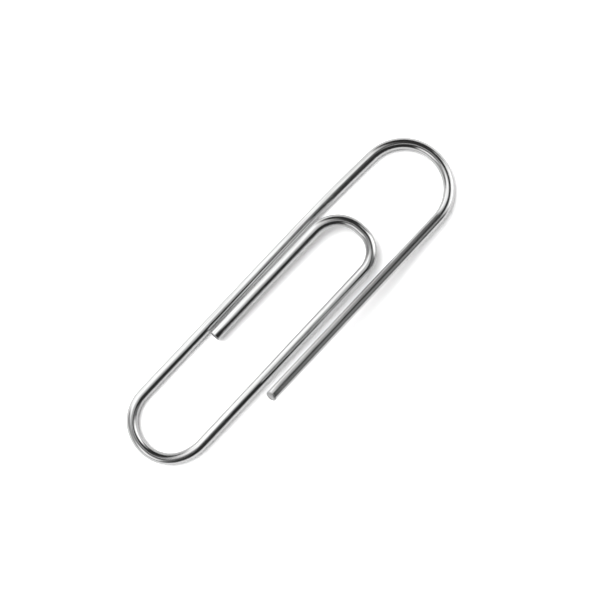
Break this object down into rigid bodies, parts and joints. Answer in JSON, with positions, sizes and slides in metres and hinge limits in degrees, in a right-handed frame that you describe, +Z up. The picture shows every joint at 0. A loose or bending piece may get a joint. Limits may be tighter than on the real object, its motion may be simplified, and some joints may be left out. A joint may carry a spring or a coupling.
{
  "type": "paper clip",
  "caption": "Wire paper clip of round plated steel: a springy inner tongue inside a longer outer loop, with the tongue and the tail sprung up a little from the flat.",
  "frame": {"origin": "on the table, under the middle of the clip's box", "axes": "+X along the clip from the heel bend to the crown bend, +Y towards the long leg, +Z up off the table"},
  "size_m": [0.033, 0.0082, 0.0044],
  "materials": {
    "plated_wire": "bright plated steel wire with fine drawing lines, bare steel at the two cut ends"
  },
  "bodies": {
    "outer_loop": {"heel_bend_long_half": "plated_wire", "long_leg": "plated_wire", "crown_shoulder": "plated_wire", "crown_bend_long_half": "plated_wire"},
    "tail": {"crown_bend_tail_half": "plated_wire", "tail_leg": "plated_wire"},
    "tongue": {"heel_bend_tongue_half": "plated_wire", "tongue_leg": "plated_wire", "tongue_bend_leg_half": "plated_wire"},
    "inner_arm": {"tongue_bend_inner_half": "plated_wire", "inner_leg": "plated_wire"}
  },
  "joints": [
    {"name": "tongue_lift", "type": "hinge", "parent": "outer_loop", "child": "tongue", "pos_m": [-0.01605, 0.00063, 0.00045], "axis": [0, -1, 0], "range_deg": [-2.5, 11], "stiffness_Nm_per_rad": 0.306},
    {"name": "tail_lift", "type": "hinge", "parent": "outer_loop", "child": "tail", "pos_m": [0.01605, -0.00011, 0.00045], "axis": [0, 1, 0], "range_deg": [-9, 9], "stiffness_Nm_per_rad": 0.397},
    {"name": "inner_arm_lift", "type": "hinge", "parent": "tongue", "child": "inner_arm", "pos_m": [0.00788, 0.00005, 0.0015], "axis": [0, 1, 0], "range_deg": [0, 6], "stiffness_Nm_per_rad": 0.604}
  ]
}
